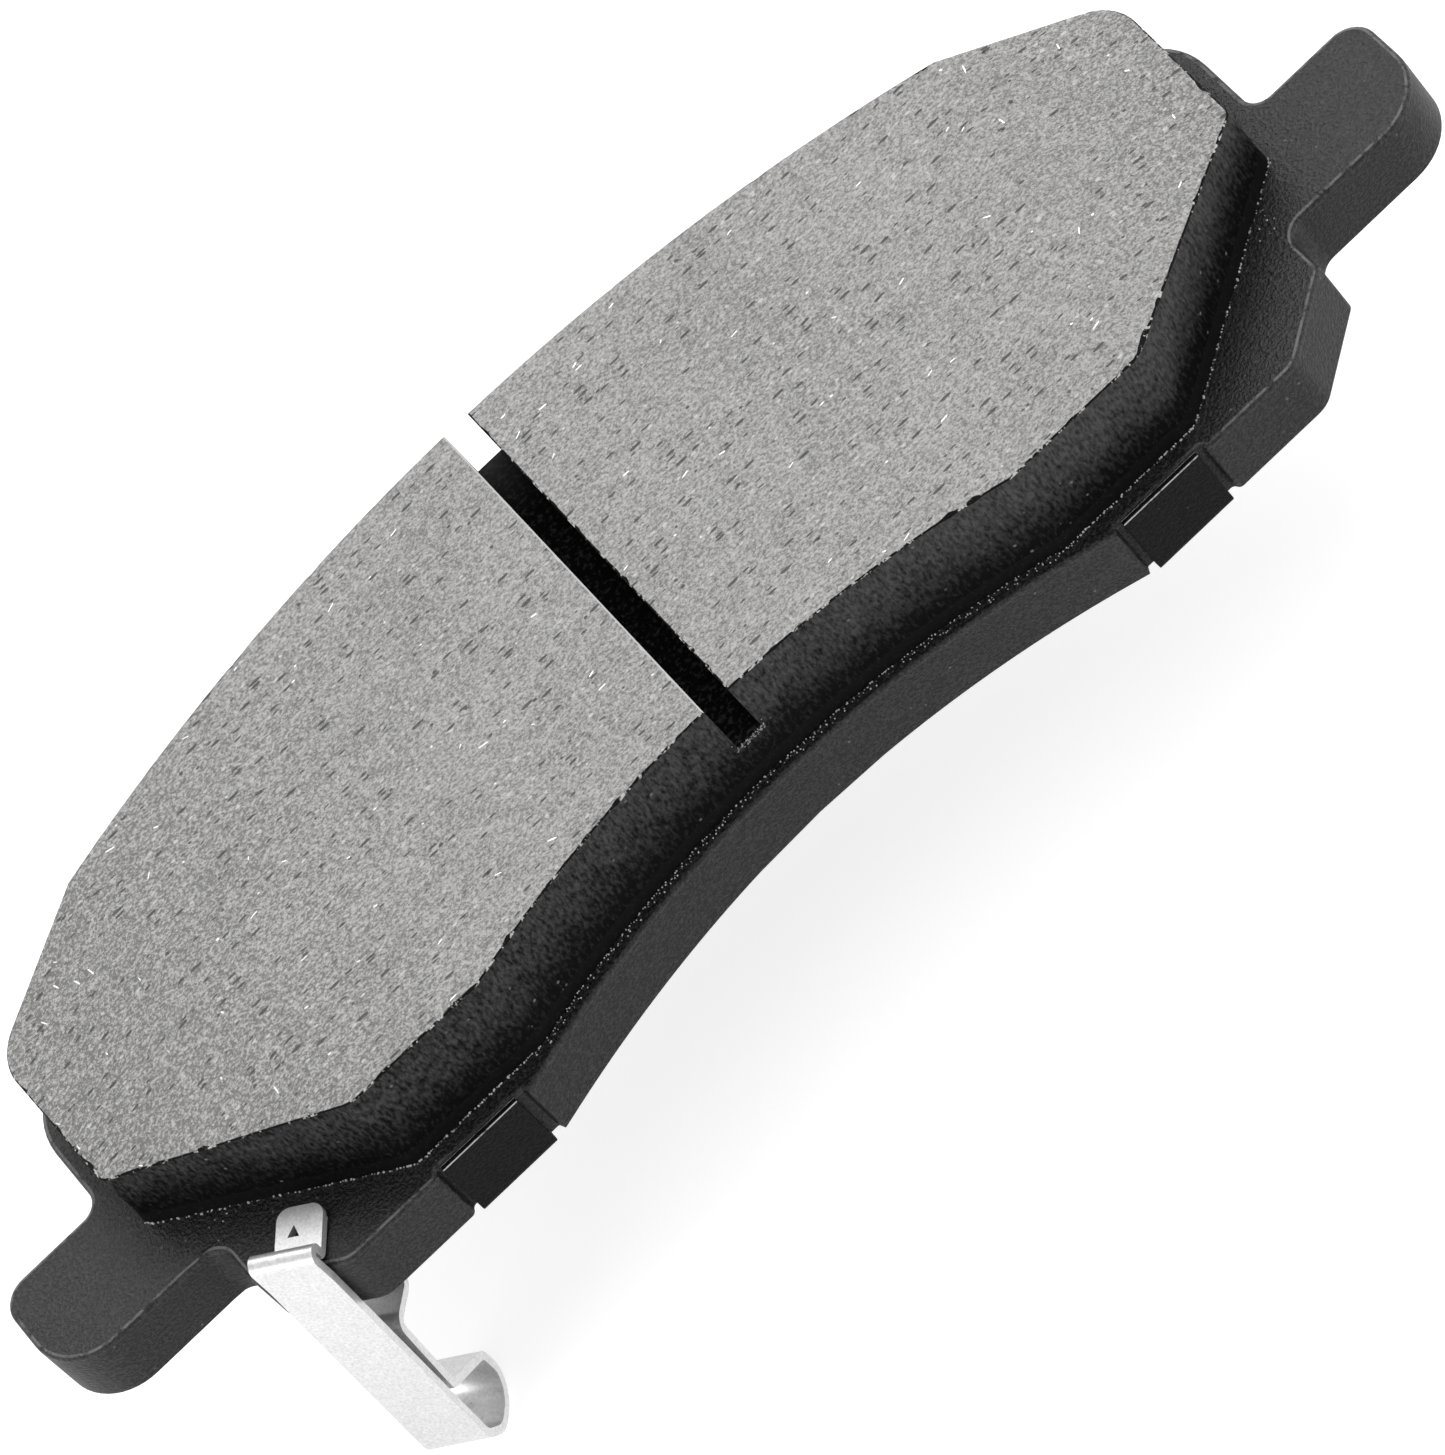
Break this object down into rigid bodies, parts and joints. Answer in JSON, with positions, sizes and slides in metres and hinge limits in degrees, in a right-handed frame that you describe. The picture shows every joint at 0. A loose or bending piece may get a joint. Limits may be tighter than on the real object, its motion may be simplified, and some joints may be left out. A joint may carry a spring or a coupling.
{
  "type": "disc brake pad",
  "caption": "Disc brake pad: steel backing plate with ears, slotted friction block, tabbed shim and a bent spring clip on one shoulder.",
  "frame": {"origin": "middle of the back face of the steel shim, where the caliper's piston presses", "axes": "+X along the pad from ear to ear, +Y away from the wheel's axle, +Z towards the disc"},
  "size_m": [0.1382, 0.0457, 0.0375],
  "materials": {
    "backing_plate": "satin black coating",
    "friction_block": "ground, grey, speckled with fibres and pits",
    "bonding_layer": "rough moulded, black",
    "damping_layer": "matt",
    "steel_shim": "matt black coating",
    "spring_clip": "bright rolled strip"
  },
  "bodies": {
    "pad": {"backing_plate": "backing_plate", "friction_block": "friction_block", "bonding_layer": "bonding_layer", "damping_layer": "damping_layer"},
    "shim": {"steel_shim": "steel_shim"},
    "clip": {"spring_clip": "spring_clip"}
  },
  "joints": [
    {"name": "shim_slide", "type": "slide", "parent": "pad", "child": "shim", "axis": [0, 0, -1], "range_m": [0, 0.009]},
    {"name": "clip_slide", "type": "slide", "parent": "pad", "child": "clip", "axis": [-0.6157, -0.788, 0], "range_m": [0, 0.0065]}
  ]
}
